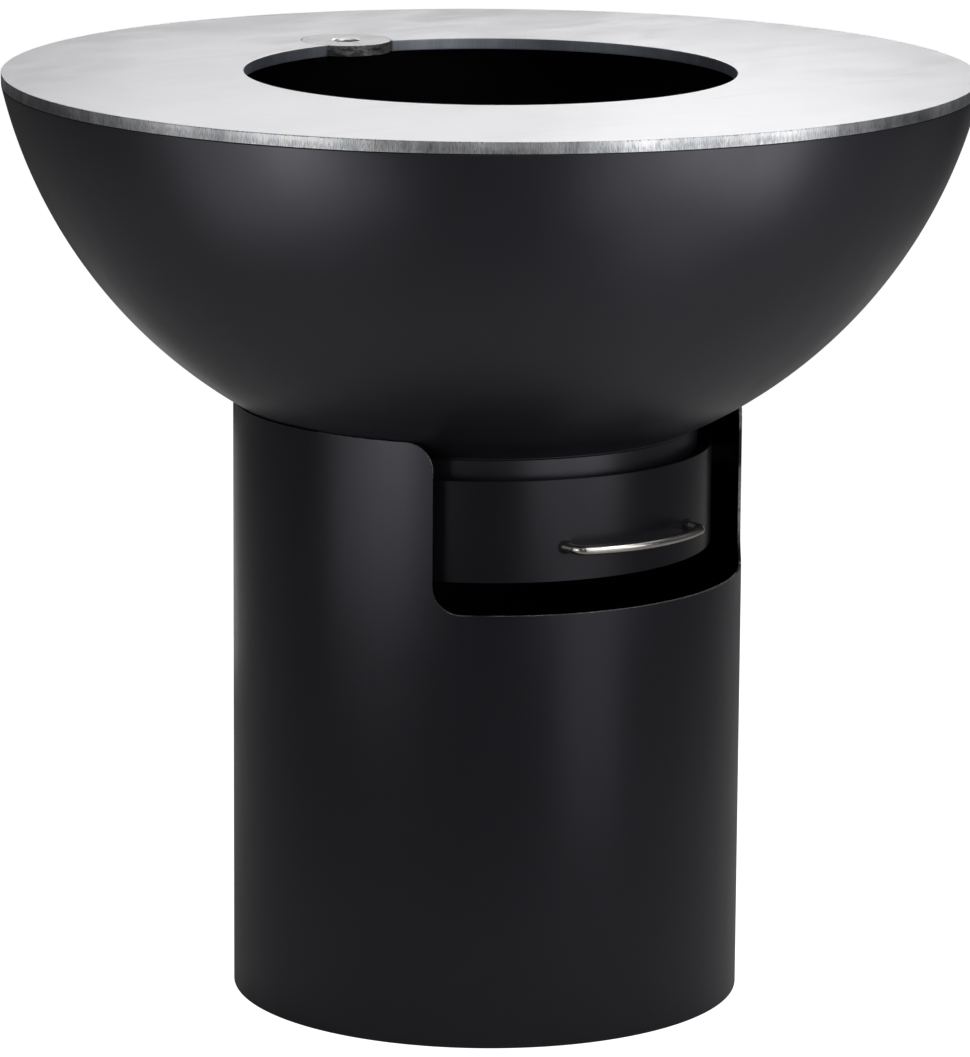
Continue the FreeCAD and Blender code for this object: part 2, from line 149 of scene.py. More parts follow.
def rounded(points, radii, seg=4):
    """Closed outline with each corner rounded by its radius (0 leaves it)."""
    out = []
    n = len(points)
    for i in range(n):
        p = np.array(points[i], float)
        r = radii[i]
        if r <= 0:
            out.append(p)
            continue
        a = np.array(points[i - 1], float) - p
        b = np.array(points[(i + 1) % n], float) - p
        la, lb = np.linalg.norm(a), np.linalg.norm(b)
        a, b = a / la, b / lb
        ang = math.acos(max(-1.0, min(1.0, float(a @ b))))
        d = min(r / math.tan(ang / 2), 0.45 * la, 0.45 * lb)
        r = d * math.tan(ang / 2)
        c = p + (a + b) / np.linalg.norm(a + b) * (r / math.sin(ang / 2))
        v0, v1 = p + a * d - c, p + b * d - c
        t = math.acos(max(-1.0, min(1.0, float(v0 @ v1) / (r * r))))
        for k in range(seg + 1):
            w = k / seg
            out.append(c + (math.sin((1 - w) * t) * v0 + math.sin(w * t) * v1) / math.sin(t))
    return out


def revolved(outline, n, centre=(0.0, 0.0)):
    """Verts and quads of a closed (radius, z) outline turned about a vertical axis."""
    m = len(outline)
    verts, faces = [], []
    for i in range(n):
        a = 2 * math.pi * i / n
        ca, sa = math.cos(a), math.sin(a)
        for r, z in outline:
            verts.append((centre[0] + r * ca, centre[1] + r * sa, z))
    for i in range(n):
        i2 = (i + 1) % n
        for j in range(m):
            j2 = (j + 1) % m
            faces.append((i * m + j, i2 * m + j, i2 * m + j2, i * m + j2))
    return verts, faces


def thick(outer, inner, faces):
    """Closes two matching sheets, outer and inner, with a rim along their border."""
    n = len(outer)
    verts = list(outer) + list(inner)
    out = [tuple(f) for f in faces]
    back = [tuple(v + n for v in reversed(f)) for f in faces]
    seen = {}
    for f in faces:
        for k in range(len(f)):
            a, b = f[k], f[(k + 1) % len(f)]
            seen[(a, b)] = seen.get((a, b), 0) + 1
    rim = []
    for (a, b) in seen:
        if (b, a) not in seen:
            rim.append((b, a, a + n, b + n))
    return verts, out + back + rim


def sphere_z(radius, r):
    return BOWL_CZ - math.sqrt(radius * radius - r * r)


def ripple(s, seed):
    """Small repeatable unevenness along a length s."""
    return (math.sin(s * 410.0 + seed) * 0.5 + math.sin(s * 173.0 + 2.1 * seed) * 0.3
            + math.sin(s * 967.0 + 0.7 * seed) * 0.2)


def bead(path, side_a, side_b, leg, closed=False, pitch=0.0026, seed=1.0):
    """Rippled fillet bead in a corner.  path holds the corner's points, side_a and
    side_b the directions from the corner along its two faces, per point."""
    K = 7
    verts, faces = [], []
    s = 0.0
    n = len(path)
    step = (Vector(path[1]) - Vector(path[0])).length
    total = step * (n if closed else n - 1)
    turns = max(1, round(total / pitch))
    pitch = total / turns
    for i in range(n):
        p, a, b = (Vector(path[i]), Vector(side_a[i]), Vector(side_b[i]))
        s = i * step
        size = leg * (1.0 + 0.07 * ripple(s, seed))
        if closed:                         # the ripple fades where the run closes
            size = leg * (1.0 + 0.07 * ripple(s, seed) * min(1.0, 4.0 * min(i, n - i) / n))
        else:                              # the ends of a run taper off
            run = min(i, n - 1 - i) * step / 0.0035
            size *= min(1.0, 0.35 + 0.65 * run)
        verts.append(p - (a + b) * 0.0002)
        verts.append(p + a * size - b * 0.0001)
        for k in range(K):
            u = (k + 0.5) / K
            lead = 0.38 * pitch * (1 - (2 * u - 1) ** 2)
            wave = abs(math.sin(math.pi * (s + lead) / pitch))
            r = size * (0.74 + 0.10 * math.sin(math.pi * u) + 0.075 * wave)
            ang = u * math.pi / 2
            d = a * math.cos(ang) + b * math.sin(ang)
            verts.append(p + d * r)
        verts.append(p + b * size - a * 0.0001)
    m = K + 3
    for i in range(n if closed else n - 1):
        i2 = (i + 1) % n
        for j in range(m):
            j2 = (j + 1) % m
            faces.append((i * m + j, i2 * m + j, i2 * m + j2, i * m + j2))
    if not closed:
        faces.append(tuple(range(m)))
        faces.append(tuple((n - 1) * m + j for j in range(m)))
    return [tuple(v) for v in verts], faces


def placed(verts, origin, axis):
    """Moves verts made about +Z at the origin so that +Z points along axis."""
    q = Vector((0, 0, 1)).rotation_difference(Vector(axis)).to_matrix()
    return [tuple(q @ Vector(v) + Vector(origin)) for v in verts]


def turned(verts, deg):
    c, s = math.cos(rad(deg)), math.sin(rad(deg))
    return [(c * x - s * y, s * x + c * y, z) for x, y, z in verts]


def gathered(parts):
    """One mesh from several (verts, faces)."""
    verts, faces = [], []
    for v, f in parts:
        k = len(verts)
        verts.extend(v)
        faces.extend(tuple(i + k for i in face) for face in f)
    return verts, faces


def polar_tube(rows, n):
    """Closed ring-shaped solid from a closed loop of (height, radius function)."""
    verts, faces = [], []
    m = len(rows)
    for z, r in rows:
        for k in range(n):
            a = 2 * math.pi * k / n
            verts.append((r(a) * math.cos(a), r(a) * math.sin(a), z))
    for i in range(m):
        i2 = (i + 1) % m
        for k in range(n):
            k2 = (k + 1) % n
            faces.append((i * n + k, i * n + k2, i2 * n + k2, i2 * n + k))
    return verts, faces


def polar_solid(rows, n):
    """Closed solid from rows of (height, radius function of angle), capped at both ends."""
    verts, faces = [], []
    for z, r in rows:
        for k in range(n):
            a = 2 * math.pi * k / n
            rr = r(a)
            verts.append((rr * math.cos(a), rr * math.sin(a), z))
    for i in range(len(rows) - 1):
        for k in range(n):
            k2 = (k + 1) % n
            faces.append((i * n + k, i * n + k2, (i + 1) * n + k2, (i + 1) * n + k))
    faces.append(tuple(range(n))[::-1])
    faces.append(tuple((len(rows) - 1) * n + k for k in range(n)))
    return verts, faces


# -------------------------------------------------------------------- materials
def tree(name):
    m = bpy.data.materials.new(name)
    m.use_nodes = True
    t = m.node_tree
    t.nodes.clear()
    out = t.nodes.new("ShaderNodeOutputMaterial")
    bsdf = t.nodes.new("ShaderNodeBsdfPrincipled")
    t.links.new(bsdf.outputs["BSDF"], out.inputs["Surface"])
    return m, t, bsdf


def add(t, kind, inputs=None, **settings):
    n = t.nodes.new(kind)
    for k, v in settings.items():
        setattr(n, k, v)
    for k, v in (inputs or {}).items():
        if isinstance(v, bpy.types.NodeSocket):
            t.links.new(v, n.inputs[k])
        else:
            n.inputs[k].default_value = v
    return n


def noise(t, vector, scale, detail=2.0, rough=0.5, distortion=0.0):
    return add(t, "ShaderNodeTexNoise",
               {"Vector": vector, "Scale": scale, "Detail": detail,
                "Roughness": rough, "Distortion": distortion}).outputs["Fac"]


def stretch(t, vector, scale, rotation=(0, 0, 0)):
    return add(t, "ShaderNodeMapping", {"Vector": vector, "Scale": scale,
                                        "Rotation": rotation}).outputs["Vector"]


def span(t, value, a, b, to_a, to_b, smooth=False):
    n = add(t, "ShaderNodeMapRange",
            {"Value": value, "From Min": a, "From Max": b,
             "To Min": to_a, "To Max": to_b})
    n.clamp = True
    if smooth:
        n.interpolation_type = "SMOOTHSTEP"
    return n.outputs["Result"]


def math_node(t, op, a, b=0.0):
    return add(t, "ShaderNodeMath", {0: a, 1: b}, operation=op).outputs[0]


def mix_rgb(t, fac, a, b):
    n = add(t, "ShaderNodeMix", data_type="RGBA")
    for k, v in ((0, fac), (6, a), (7, b)):
        if isinstance(v, bpy.types.NodeSocket):
            t.links.new(v, n.inputs[k])
        else:
            n.inputs[k].default_value = v if k == 0 else (*v, 1.0)
    return n.outputs[2]


def bump(t, height, distance, strength=1.0, normal=None):
    inputs = {"Height": height, "Distance": distance, "Strength": strength}
    if normal is not None:
        inputs["Normal"] = normal
    return add(t, "ShaderNodeBump", inputs).outputs["Normal"]


def powder_coat(name, dark=(0.0052, 0.0046, 0.0068), light=(0.0078, 0.0069, 0.0098),
                rough=(0.27, 0.35), grain=1.0, spec=0.54):
    """Satin black powder coat: fine grain, slow changes of gloss."""
    m, t, b = tree(name)
    p = add(t, "ShaderNodeTexCoord").outputs["Object"]
    fine = noise(t, p, 1150.0, 2.0, 0.55)
    mid = noise(t, p, 420.0, 2.0, 0.5)
    slow = noise(t, p, 7.0, 3.0, 0.55)
    smear = noise(t, stretch(t, p, (1.0, 1.0, 0.35)), 19.0, 4.0, 0.6, 0.6)
    tone = math_node(t, "ADD", math_node(t, "MULTIPLY", fine, 0.6),
                     math_node(t, "MULTIPLY", slow, 0.4))
    t.links.new(mix_rgb(t, span(t, tone, 0.35, 0.65, 0.0, 1.0), dark, light),
                b.inputs["Base Color"])
    r = math_node(t, "ADD", math_node(t, "MULTIPLY", smear, 0.6),
                  math_node(t, "MULTIPLY", mid, 0.4))
    t.links.new(span(t, r, 0.3, 0.7, rough[0], rough[1]), b.inputs["Roughness"])
    n1 = bump(t, mid, 0.00008 * grain, 0.55)
    t.links.new(bump(t, fine, 0.00005 * grain, 0.6, n1), b.inputs["Normal"])
    b.inputs["Specular IOR Level"].default_value = spec
    b.inputs["Specular Tint"].default_value = (0.90, 0.895, 1.0, 1.0)
    return m


def plate_steel(name):
    """Bare ground steel: one-way grinding marks, cloudy patches, faint smears."""
    m, t, b = tree(name)
    p = add(t, "ShaderNodeTexCoord").outputs["Object"]
    lines = noise(t, stretch(t, p, (9.0, 1400.0, 30.0), (0, 0, rad(28))), 1.0, 3.0, 0.6)
    coarse = noise(t, stretch(t, p, (3.0, 260.0, 10.0), (0, 0, rad(28))), 1.0, 2.0, 0.6)
    cloud = noise(t, p, 4.2, 4.0, 0.55, 0.8)
    patch = noise(t, stretch(t, p, (1.0, 2.6, 1.0), (0, 0, rad(-20))), 9.0, 5.0, 0.6, 1.2)
    wipe = noise(t, stretch(t, p, (2.0, 26.0, 1.0), (0, 0, rad(-52))), 1.6, 5.0, 0.62, 0.5)
    tone = math_node(t, "ADD", math_node(t, "MULTIPLY", cloud, 0.55),
                     math_node(t, "MULTIPLY", patch, 0.45))
    base = mix_rgb(t, span(t, tone, 0.35, 0.65, 0.0, 1.0),
                   (0.624, 0.620, 0.642), (0.688, 0.683, 0.699))
    streak = span(t, wipe, 0.56, 0.70, 0.0, 0.5, True)
    t.links.new(mix_rgb(t, streak, base, (0.578, 0.573, 0.588)), b.inputs["Base Color"])
    r = math_node(t, "ADD", math_node(t, "MULTIPLY", lines, 0.35),
                  math_node(t, "MULTIPLY", patch, 0.65))
    t.links.new(span(t, r, 0.3, 0.7, 0.29, 0.41), b.inputs["Roughness"])
    n1 = bump(t, coarse, 0.00002, 0.45)
    t.links.new(bump(t, lines, 0.00001, 0.6, n1), b.inputs["Normal"])
    b.inputs["Metallic"].default_value = 1.0
    return m


def cut_steel(name, low, high, rough, pitch=1100.0, depth=0.00006, z=None):
    """Flame-cut edge: upright marks round a wall.  z = (bottom, top) adds the
    drag of the cut: a cleaner upper part and torn dark marks below."""
    m, t, b = tree(name)
    p = add(t, "ShaderNodeTexCoord").outputs["Object"]
    upright = stretch(t, p, (1.0, 1.0, 0.045))
    fine = noise(t, upright, pitch, 2.0, 0.6)
    mid = noise(t, upright, pitch * 0.45, 3.0, 0.6)
    band = noise(t, stretch(t, p, (1.0, 1.0, 0.3)), 60.0, 3.0, 0.6)
    marks = math_node(t, "ADD", math_node(t, "MULTIPLY", fine, 0.55),
                      math_node(t, "MULTIPLY", mid, 0.45))
    tone = math_node(t, "ADD", math_node(t, "MULTIPLY", marks, 0.5),
                     math_node(t, "MULTIPLY", band, 0.5))
    base = mix_rgb(t, span(t, tone, 0.38, 0.62, 0.0, 1.0), low, high)
    height = math_node(t, "MULTIPLY", fine, 1.0)
    if z:
        up = span(t, add(t, "ShaderNodeSeparateXYZ", {0: p}).outputs[2], z[0], z[1], 0.0, 1.0)
        # torn marks: each reaches a different height above the lower arris
        reach = noise(t, stretch(t, p, (1.0, 1.0, 0.02)), 1050.0, 1.0, 0.5)
        torn = noise(t, stretch(t, p, (1.0, 1.0, 0.10)), 1500.0, 2.0, 0.7)
        wander = noise(t, stretch(t, p, (1.0, 1.0, 0.0)), 14.0, 3.0, 0.6)
        level = math_node(t, "ADD", math_node(t, "MULTIPLY", reach, 1.3),
                          math_node(t, "MULTIPLY", wander, 1.1))
        below = span(t, math_node(t, "SUBTRACT", level, up), 0.35, 0.80, 0.0, 1.0, True)
        dark = math_node(t, "MULTIPLY", below, span(t, torn, 0.42, 0.60, 0.15, 1.0, True))
        base = mix_rgb(t, math_node(t, "MULTIPLY", dark, 0.62), base, (0.085, 0.092, 0.105))
        # faint blue and straw patches of the heated skin
        patch = noise(t, stretch(t, p, (1.0, 1.0, 0.5)), 38.0, 3.0, 0.6, 0.5)
        base = mix_rgb(t, span(t, patch, 0.52, 0.68, 0.0, 0.22, True), base, (0.36, 0.40, 0.46))
        base = mix_rgb(t, span(t, patch, 0.48, 0.34, 0.0, 0.16, True), base, (0.60, 0.56, 0.48))
        # broken bright burr under the upper arris, dark ticks over it
        lip = span(t, up, 0.86, 0.93, 0.0, 1.0, True)
        tick = noise(t, stretch(t, p, (1.0, 1.0, 0.0)), 520.0, 2.0, 0.7)
        base = mix_rgb(t, math_node(t, "MULTIPLY", lip, span(t, tick, 0.50, 0.60, 0.0, 0.75, True)),
                       base, (0.14, 0.15, 0.16))
        height = math_node(t, "SUBTRACT", height, math_node(t, "MULTIPLY", dark, 1.1))
        # brighter and duller lengths where the cut was dressed more or less
        rub = span(t, noise(t, stretch(t, p, (1.0, 1.0, 0.0)), 6.0, 3.0, 0.55),
                   0.35, 0.65, 0.72, 1.28, True)
        worked = add(t, "ShaderNodeVectorMath", {0: base}, operation="SCALE")
        t.links.new(rub, worked.inputs["Scale"])
        limit = add(t, "ShaderNodeVectorMath", {0: worked.outputs[0], 1: (0.96, 0.96, 0.96)},
                    operation="MINIMUM")
        base = limit.outputs[0]
    t.links.new(base, b.inputs["Base Color"])
    t.links.new(span(t, tone, 0.3, 0.7, rough[0], rough[1]), b.inputs["Roughness"])
    n1 = bump(t, mid, depth * 1.6, 0.6)
    t.links.new(bump(t, height, depth, 0.7, n1), b.inputs["Normal"])
    b.inputs["Metallic"].default_value = 1.0
    return m


def heat_tint(name):
    """Steel side discoloured in patches: dark blue, straw and grey."""
    m, t, b = tree(name)
    p = add(t, "ShaderNodeTexCoord").outputs["Object"]
    a = noise(t, stretch(t, p, (1.0, 1.0, 2.6)), 75.0, 4.0, 0.62, 0.1)
    c = noise(t, stretch(t, p, (1.0, 1.0, 2.4)), 260.0, 3.0, 0.6, 0.1)
    base = mix_rgb(t, span(t, a, 0.40, 0.52, 0.0, 1.0, True), (0.12, 0.125, 0.145), (0.46, 0.44, 0.415))
    base = mix_rgb(t, span(t, c, 0.50, 0.60, 0.0, 0.75, True), base, (0.20, 0.195, 0.20))
    t.links.new(base, b.inputs["Base Color"])
    t.links.new(span(t, a, 0.3, 0.7, 0.42, 0.58), b.inputs["Roughness"])
    t.links.new(bump(t, c, 0.00004, 0.5), b.inputs["Normal"])
    b.inputs["Metallic"].default_value = 1.0
    return m


def mill_scale(name, low=(0.052, 0.056, 0.063), high=(0.095, 0.098, 0.104)):
    """Hot-rolled skin: dark blue-grey, faintly pitted, with rubbed lighter places."""
    m, t, b = tree(name)
    p = add(t, "ShaderNodeTexCoord").outputs["Object"]
    slow = noise(t, stretch(t, p, (1.0, 0.35, 1.0)), 9.0, 4.0, 0.6, 0.6)
    pit = noise(t, p, 520.0, 3.0, 0.6)
    rub = noise(t, p, 30.0, 5.0, 0.65)
    base = mix_rgb(t, span(t, slow, 0.35, 0.65, 0.0, 1.0), low, high)
    t.links.new(mix_rgb(t, span(t, rub, 0.60, 0.72, 0.0, 0.5, True), base, (0.20, 0.20, 0.205)),
                b.inputs["Base Color"])
    t.links.new(span(t, pit, 0.3, 0.7, 0.38, 0.56), b.inputs["Roughness"])
    t.links.new(bump(t, pit, 0.00004, 0.5), b.inputs["Normal"])
    b.inputs["Metallic"].default_value = 0.9
    return m


def simple_metal(name, low, high, rough, scale=600.0, depth=0.00002, metallic=1.0):
    m, t, b = tree(name)
    p = add(t, "ShaderNodeTexCoord").outputs["Object"]
    a = noise(t, p, scale, 3.0, 0.6)
    c = noise(t, p, 35.0, 3.0, 0.6)
    t.links.new(mix_rgb(t, span(t, c, 0.35, 0.65, 0.0, 1.0), low, high), b.inputs["Base Color"])
    t.links.new(span(t, a, 0.3, 0.7, rough[0], rough[1]), b.inputs["Roughness"])
    t.links.new(bump(t, a, depth, 0.5), b.inputs["Normal"])
    b.inputs["Metallic"].default_value = metallic
    return m


def worn_coat(name):
    """Black coat on a cut edge, worn through to light metal in places."""
    m = powder_coat(name, (0.008, 0.0076, 0.0092), (0.016, 0.0154, 0.0175), (0.22, 0.30), 0.6, 0.7)
    t = m.node_tree
    b = next(n for n in t.nodes if n.type == "BSDF_PRINCIPLED")
    p = add(t, "ShaderNodeTexCoord").outputs["Object"]
    worn = math_node(t, "MULTIPLY", span(t, noise(t, p, 9.0, 3.0, 0.55), 0.44, 0.54, 0.0, 1.0, True),
                     span(t, noise(t, p, 160.0, 3.0, 0.7), 0.38, 0.54, 0.35, 1.0, True))
    old = b.inputs["Base Color"].links[0].from_socket
    t.links.new(mix_rgb(t, worn, old, (0.45, 0.45, 0.465)), b.inputs["Base Color"])
    t.links.new(math_node(t, "MULTIPLY", worn, 0.6), b.inputs["Metallic"])
    return m


coat = powder_coat("black_powder_coat")
coat_bowl = powder_coat("black_powder_coat_bowl", rough=(0.31, 0.39), spec=0.63)
steel = plate_steel("ground_plate_steel")
bar_steel = simple_metal("satin_stainless", (0.50, 0.478, 0.446), (0.60, 0.577, 0.545), (0.17, 0.25), 900.0)
zinc = simple_metal("zinc_plate", (0.50, 0.50, 0.51), (0.62, 0.62, 0.62), (0.28, 0.42))
insert_mat = simple_metal("insert_steel", (0.55, 0.55, 0.56), (0.66, 0.65, 0.645), (0.26, 0.4))
weld_steel = simple_metal("weld_steel", (0.30, 0.29, 0.28), (0.44, 0.42, 0.40), (0.3, 0.45), 800.0, 0.00003)
# near-black matte coat for the handle's foot washers: partly painted shade, standing for the contact shadow round
# each foot
washer_black_painted_shade = powder_coat("washer_black_painted_shade", (0.0045, 0.0045, 0.0048), (0.008, 0.008, 0.0085), (0.5, 0.66), 0.6, 0.3)
edge_steel = cut_steel("cut_edge_steel", (0.47, 0.48, 0.50), (0.78, 0.785, 0.80), (0.33, 0.47),
                       z=(0.950, 0.962))
wall_steel = cut_steel("opening_wall_steel", (0.58, 0.63, 0.72), (0.76, 0.81, 0.90), (0.36, 0.46),
                       1500.0, 0.00002)
tinted = heat_tint("heat_tinted_steel")
scale_steel = mill_scale("mill_scale_steel")
# near-black, almost unreflecting finish: soot, and painted shade where it is used under the plate and inside the
# insert's bore, so these parts read as black as the shade there
soot_and_painted_shade = powder_coat("sooty_steel_and_painted_shade", (0.0016, 0.0015, 0.0016), (0.0042, 0.0039, 0.0038), (0.80, 0.95), 2.5, 0.06)
lip_coat = worn_coat("coat_over_edge")
# the collar's copy of the black coat is lighter and glossier than the same coat elsewhere: painted light on the
# collar in the shade under the bowl
collar_coat_painted_lighter = powder_coat("black_powder_coat_collar_painted_lighter", (0.0068, 0.0062, 0.0086), (0.0100, 0.0092, 0.0122), (0.30, 0.36), 0.6, 0.66)
# the drawer front's copy of the black coat is darker and less glossy than the same coat elsewhere: painted shade
# on the drawer front inside the notch
drawer_coat_painted_darker = powder_coat("black_powder_coat_drawer_painted_darker", (0.0040, 0.0036, 0.0052), (0.0066, 0.0060, 0.0082), (0.27, 0.35), 1.0, 0.46)
bore_steel = simple_metal("turned_bore_steel", (0.90, 0.90, 0.91), (0.96, 0.96, 0.96), (0.26, 0.36), 900.0)
grate_mat = simple_metal("blued_steel", (0.045, 0.045, 0.05), (0.09, 0.082, 0.08), (0.4, 0.6))

# ---------------------------------------------------------------- cooking plate
def plate_loops(offset, n_hole, n_pocket, pocket_share=0.35):
    """Inner outline of the plate (fire opening with the insert's pocket), grown
    outwards by offset, and the outer circle shrunk by it, with matching points.
    The pocket is wider than its mouth, so its points fan out over a wider arc of
    the outer circle: straight lines between the two then never cross."""
    fan = rad(30)
    R, r = HOLE_R + offset, POCKET_R + offset * pocket_share
    x = (INSERT_AT ** 2 + R * R - r * r) / (2 * INSERT_AT)
    y = math.sqrt(R * R - x * x)
    half = math.atan2(y, x)
    edge_ang = math.atan2(y, x - INSERT_AT)
    inner, angle = [], []
    for i in range(n_hole):
        a = INSERT_ANG + half + (2 * math.pi - 2 * half) * i / n_hole
        inner.append((R * math.cos(a), R * math.sin(a)))
        angle.append(INSERT_ANG + fan + (2 * math.pi - 2 * fan) * i / n_hole)
    for i in range(n_pocket):
        w = i / n_pocket
        b = -edge_ang + 2 * edge_ang * w
        px = INSERT_AT + r * math.cos(b)
        py = r * math.sin(b)
        ca, sa = math.cos(INSERT_ANG), math.sin(INSERT_ANG)
        inner.append((px * ca - py * sa, px * sa + py * ca))
        angle.append(INSERT_ANG - fan + 2 * fan * w)
    return inner, angle


def cooking_plate():
    NH, NP = 472, 56
    n = NH + NP
    top, bot = PLATE_TOP, PLATE_TOP - PLATE_T
    c = 0.0008
    arc = [(c * (1 - math.sin(rad(90) * k / 4)), c * (1 - math.cos(rad(90) * k / 4)))
           for k in range(5)]
    wall = [0.25, 0.5, 0.75]
    verts, rows = [], []

    def inner_row(off, z):
        pts, _ = plate_loops(off, NH, NP)
        rows.append(len(verts))
        verts.extend((x, y, z) for x, y in pts)

    def outer_row(off, z):
        _, ang = plate_loops(0.0, NH, NP)
        rows.append(len(verts))
        verts.extend(((PLATE_R - off) * math.cos(a), (PLATE_R - off) * math.sin(a), z)
                     for a in ang)

    # down the wall of the opening, out along the underside, up the outer edge
    for off, dz in arc:
        inner_row(off, top - dz)
    for w in wall:
        inner_row(0.0, top - c - (PLATE_T - 2 * c) * w)
    for off, dz in reversed(arc):
        inner_row(off, bot + dz)
    low_in = rows[-1]
    for off, dz in arc:
        outer_row(off, bot + dz)
        if off == arc[0][0]:
            low_out = rows[-1]
    for w in reversed(wall):
        outer_row(0.0, top - c - (PLATE_T - 2 * c) * w)
    for off, dz in reversed(arc):
        outer_row(off, top - dz)
    faces = []

    def strip(a, b):
        for i in range(n):
            j = (i + 1) % n
            faces.append((a + i, a + j, b + j, b + i))

    def sheet(a, b, rings):
        """Flat rings between two rows of the same height."""
        prev = a
        for k in range(1, rings):
            w = k / rings
            new = len(verts)
            for i in range(n):
                p, q = verts[a + i], verts[b + i]
                verts.append(tuple(p[m] + (q[m] - p[m]) * w for m in range(3)))
            strip(prev, new)
            prev = new
        strip(prev, b)

    base = list(rows)
    for a, b in zip(base, base[1:]):
        if a == low_in and b == low_out:
            sheet(a, b, 6)
        else:
            strip(a, b)
    sheet(base[-1], base[0], 8)
    ob = piece("plate_ring", verts, faces, steel, "plate", "plate_steel", ("cooking_plate",))
    second_finish(ob, edge_steel, lambda c, n: abs(n.z) < 0.62 and math.hypot(c.x, c.y) > 0.45)
    second_finish(ob, wall_steel, lambda c, n: abs(n.z) < 0.62 and math.hypot(c.x, c.y) < 0.45)
    second_finish(ob, scale_steel, lambda c, n: n.z < -0.62)


cooking_plate()

# ---------------------------------------------------------------- round insert
low = PLATE_TOP - PLATE_T + 0.0003
out = rounded([(INSERT_BORE, PLATE_TOP), (INSERT_R, PLATE_TOP), (INSERT_R, low), (INSERT_BORE, low)],
              [0.0030, 0.0006, 0.0005, 0.0005], 7)
ob = piece("insert_disc", *revolved(out, 160, INSERT_C), insert_mat, "insert", "insert_steel",
           ("plate_insert",))
second_finish(ob, tinted, lambda c, n: abs(n.z) < 0.62
              and math.hypot(c.x - INSERT_C[0], c.y - INSERT_C[1]) > 0.04)
second_finish(ob, scale_steel, lambda c, n: n.z < -0.62)
second_finish(ob, bore_steel, lambda c, n: 0.25 < n.z < 0.97 and c.z > PLATE_TOP - 0.0032
              and math.hypot(c.x - INSERT_C[0], c.y - INSERT_C[1]) < 0.0165)
# the bore's upright wall is near-black: soot, and painted shade of the bore's deep inside
second_finish(ob, soot_and_painted_shade, lambda c, n: abs(n.z) <= 0.25
              and math.hypot(c.x - INSERT_C[0], c.y - INSERT_C[1]) < 0.0140)

# ------------------------------------------------------------------------ bowl
def bowl():
    ro, ri = BOWL_R, BOWL_R - BOWL_T
    h = BOWL_CZ - BOWL_RIM
    rim_o, rim_i = math.sqrt(ro * ro - h * h), math.sqrt(ri * ri - h * h)
    a0, a1 = math.asin(ASH_HOLE_R / ro), math.asin(rim_o / ro)
    outer = [(ro * math.sin(a0 + (a1 - a0) * k / 88), BOWL_CZ - ro * math.cos(a0 + (a1 - a0) * k / 88))
             for k in range(89)]
    b0, b1 = math.asin(ASH_HOLE_R / ri), math.asin(rim_i / ri)
    inner = [(ri * math.sin(b1 + (b0 - b1) * k / 88), BOWL_CZ - ri * math.cos(b1 + (b0 - b1) * k / 88))
             for k in range(89)]
    pts = outer + inner
    radii = [0.0] * len(pts)
    for k in (0, 88, 89, 177):
        radii[k] = 0.0007
    piece("bowl_shell", *revolved(rounded(pts, radii, 3), 360), coat_bowl, "pedestal",
          "black_coat", ("fire_bowl",))


bowl()

# ----------------------------------------------------------------- ash collar
zo = sphere_z(BOWL_R + 0.00005, COLLAR_R)
zi = sphere_z(BOWL_R + 0.00005, COLLAR_R - COLLAR_T)
out = rounded([(COLLAR_R, COLLAR_Z), (COLLAR_R, (COLLAR_Z + zo) / 2), (COLLAR_R, zo),
               (COLLAR_R - COLLAR_T, zi), (COLLAR_R - COLLAR_T, (COLLAR_Z + zi) / 2),
               (COLLAR_R - COLLAR_T, COLLAR_Z)],
              [0.0006, 0, 0.0003, 0.0003, 0, 0.0006])
# the collar gets the lighter copy of the coat: painted light
piece("collar_band", *revolved(out, 300), collar_coat_painted_lighter, "pedestal", "black_coat", ("ash_collar",))


